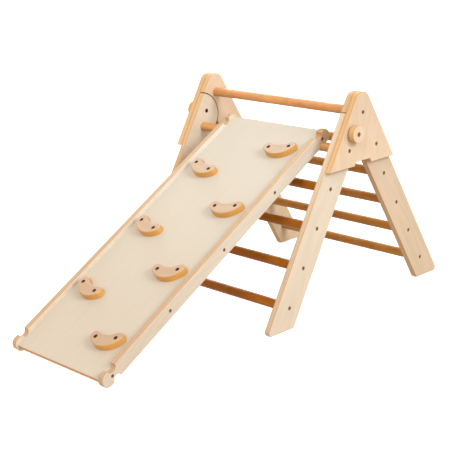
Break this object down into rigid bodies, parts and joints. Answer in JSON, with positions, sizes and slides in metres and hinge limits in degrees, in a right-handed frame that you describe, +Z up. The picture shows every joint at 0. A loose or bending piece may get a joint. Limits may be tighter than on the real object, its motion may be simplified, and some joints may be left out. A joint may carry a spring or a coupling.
{
  "type": "folding climbing frame with slide ramp",
  "caption": "Folding wooden climbing frame for a toddler with round rungs, side plates with knobs, and a hook-on ramp with bean-shaped climbing holds.",
  "frame": {"origin": "on the floor under the middle of the whole object, side to side and front to back", "axes": "+Z up, +X to the right along the rungs, +Y from the ramp's lower end towards the rear legs"},
  "size_m": [0.6264, 1.1884, 0.58],
  "materials": {
    "birch_ply": "clear lacquered birch plywood",
    "hold_ply": "clear lacquered birch plywood, sanded round",
    "beech_dowel": "oiled beech",
    "lacquered_panel": "pale lacquered plywood",
    "dark_steel": "dark bronzed steel",
    "zinc_steel": "zinc plated steel"
  },
  "bodies": {
    "rear_frame": {"rear_leg_left": "birch_ply", "rear_leg_right": "birch_ply", "side_plate_left": "birch_ply", "side_plate_right": "birch_ply", "handrail": "beech_dowel", "rear_rung_1": "beech_dowel", "rear_rung_2": "beech_dowel", "rear_rung_3": "beech_dowel", "rear_rung_4": "beech_dowel", "rear_rung_5": "beech_dowel", "plate_screws": "dark_steel", "rear_rung_screws": "dark_steel"},
    "front_frame": {"front_leg_left": "birch_ply", "front_leg_right": "birch_ply", "front_rung_1": "beech_dowel", "front_rung_2": "beech_dowel", "front_rung_3": "beech_dowel", "front_rung_4": "beech_dowel", "front_rung_5": "beech_dowel", "pivot_bolts": "dark_steel", "front_rung_screws": "dark_steel", "knob_insert_left": "dark_steel", "knob_insert_right": "dark_steel", "knob_bolt_tip_left": "dark_steel", "knob_bolt_tip_right": "dark_steel"},
    "ramp": {"ramp_rail_left": "birch_ply", "ramp_rail_right": "birch_ply", "ramp_panel": "lacquered_panel", "hold_1": "hold_ply", "hold_2": "hold_ply", "hold_3": "hold_ply", "hold_4": "hold_ply", "hold_5": "hold_ply", "hold_6": "hold_ply", "hold_7": "hold_ply", "hold_screws": "dark_steel", "ramp_rail_screws": "dark_steel"},
    "washer_left": {"knob_washer_left": "zinc_steel"},
    "knob_left": {"knob_left": "birch_ply", "knob_bolt_left": "dark_steel"},
    "washer_right": {"knob_washer_right": "zinc_steel"},
    "knob_right": {"knob_right": "birch_ply", "knob_bolt_right": "dark_steel"}
  },
  "joints": [
    {"name": "frame_fold", "type": "hinge", "parent": "rear_frame", "child": "front_frame", "pos_m": [0, 0.18529, 0.43335], "axis": [1, 0, 0], "range_deg": [0, 61]},
    {"name": "ramp_tilt", "type": "hinge", "parent": "rear_frame", "child": "ramp", "pos_m": [0, 0.18529, 0.43335], "axis": [-1, 0, 0], "range_deg": [0, 60]},
    {"name": "knob_left_travel", "type": "slide", "parent": "rear_frame", "child": "washer_left", "axis": [-1, 0, 0], "range_m": [0, 0.0226]},
    {"name": "knob_left_turn", "type": "hinge", "parent": "washer_left", "child": "knob_left", "pos_m": [0, 0.19943, 0.47692], "axis": [-1, 0, 0], "range_deg": [0, 6480]},
    {"name": "knob_right_travel", "type": "slide", "parent": "rear_frame", "child": "washer_right", "axis": [1, 0, 0], "range_m": [0, 0.0226]},
    {"name": "knob_right_turn", "type": "hinge", "parent": "washer_right", "child": "knob_right", "pos_m": [0, 0.19943, 0.47692], "axis": [1, 0, 0], "range_deg": [0, 6480]}
  ],
  "couplings": [
    {"joint": "knob_left_travel", "follows": "knob_left_turn", "m_per_rad": 0.00019894},
    {"joint": "knob_right_travel", "follows": "knob_right_turn", "m_per_rad": 0.00019894}
  ]
}
